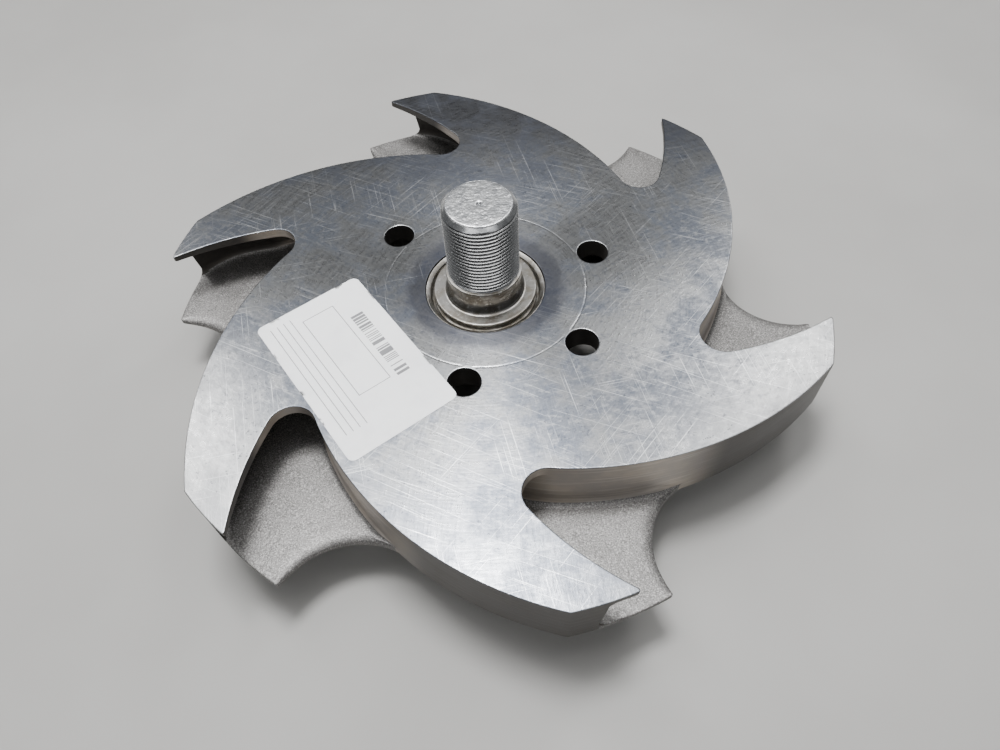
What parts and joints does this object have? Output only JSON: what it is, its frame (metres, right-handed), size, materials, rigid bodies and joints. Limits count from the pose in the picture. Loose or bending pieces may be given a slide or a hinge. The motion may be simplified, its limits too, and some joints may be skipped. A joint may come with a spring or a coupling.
{
  "type": "pump impeller",
  "caption": "Semi-open centrifugal pump impeller with thick back-swept vanes, scalloped lower plate, balance holes and a threaded shaft stub, lying eye down.",
  "frame": {"origin": "on the shaft axis at the bottom of the suction eye ring, which the impeller lies on", "axes": "+Z along the shaft axis, from the suction eye to the threaded stub"},
  "size_m": [0.4034, 0.4024, 0.1404],
  "materials": {
    "machined_steel": "machined, scratched",
    "vane_steel": "as cast, ground",
    "cast_steel": "as cast, fine grain",
    "turned_ring": "turned",
    "hub_steel": "as cast, turned ledge",
    "stub_steel": "turned, bright",
    "label_paper": "matte paper"
  },
  "bodies": {
    "root": {"back_shroud": "machined_steel", "vane_1": "vane_steel", "vane_2": "vane_steel", "vane_3": "vane_steel", "vane_4": "vane_steel", "vane_5": "vane_steel", "vane_6": "vane_steel", "front_shroud": "cast_steel", "suction_eye_ring": "turned_ring", "hub": "hub_steel", "threaded_stub": "stub_steel", "label": "label_paper"}
  },
  "joints": []
}
